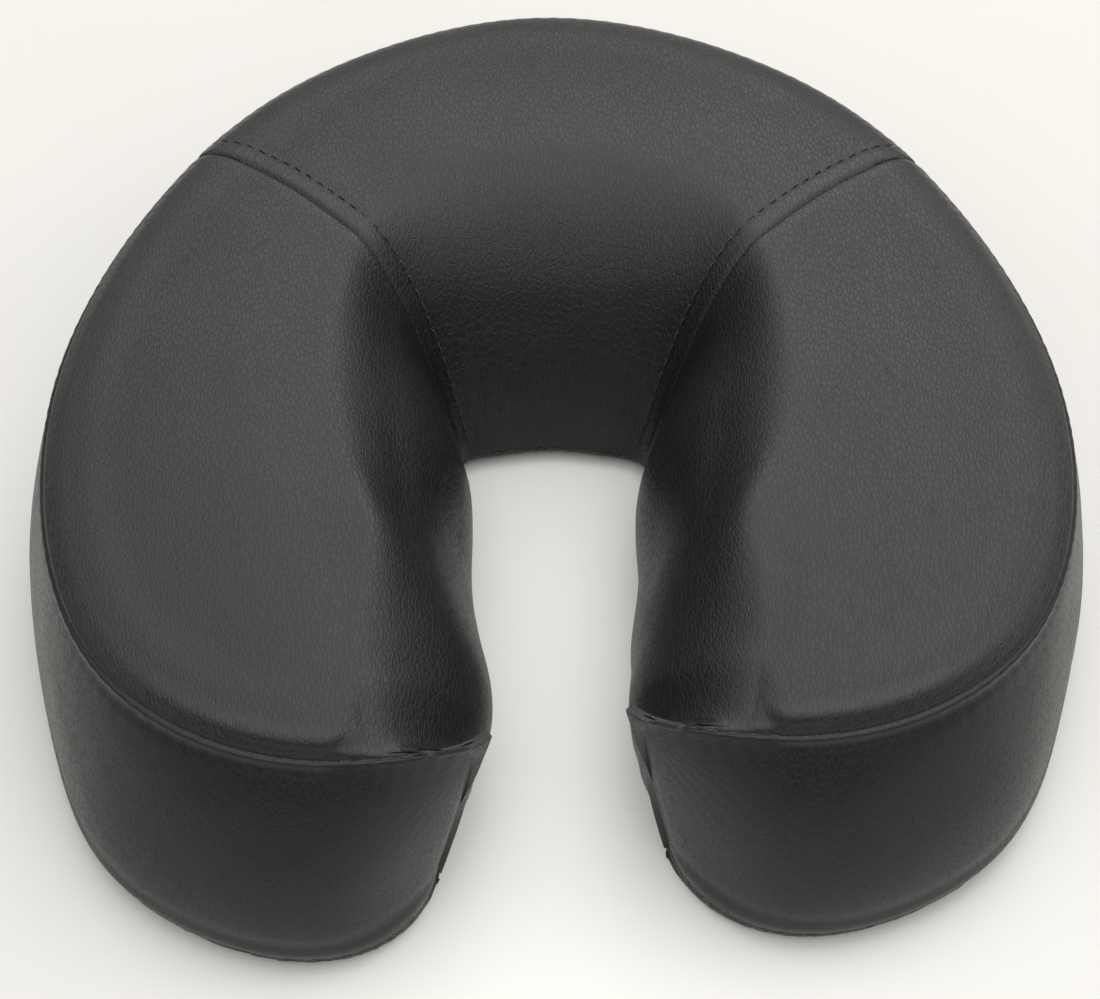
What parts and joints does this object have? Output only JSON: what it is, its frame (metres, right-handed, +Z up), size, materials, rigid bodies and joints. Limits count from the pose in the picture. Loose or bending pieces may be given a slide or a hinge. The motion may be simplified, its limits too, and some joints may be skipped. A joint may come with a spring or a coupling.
{
  "type": "face cradle cushion",
  "caption": "Horseshoe face cushion with a sloped opening for the face, a sewn black leatherette cover over foam, and a loop-fabric base.",
  "frame": {"origin": "middle of the cushion's footprint, on the surface that the base rests on", "axes": "+Z up, away from the base; +Y from the open feet towards the closed crown; +X towards the right cheek as seen from the open end"},
  "size_m": [0.3002, 0.3048, 0.0792],
  "materials": {
    "cover_vinyl": "satin pebbled leatherette",
    "loop_fabric": "brushed loop pile",
    "sewing_thread": "twisted polyester thread",
    "firm_foam": "open-cell foam",
    "soft_foam": "open-cell foam"
  },
  "bodies": {
    "root": {"foam_base": "firm_foam", "foam_comfort_layer": "soft_foam", "crown_panel": "cover_vinyl", "cheek_panel_left": "cover_vinyl", "cheek_panel_right": "cover_vinyl", "boxing_band": "cover_vinyl", "loop_base_panel": "loop_fabric", "topstitch_left": "sewing_thread", "topstitch_right": "sewing_thread", "boxing_seam_thread": "sewing_thread", "base_seam_thread": "sewing_thread"}
  },
  "joints": []
}
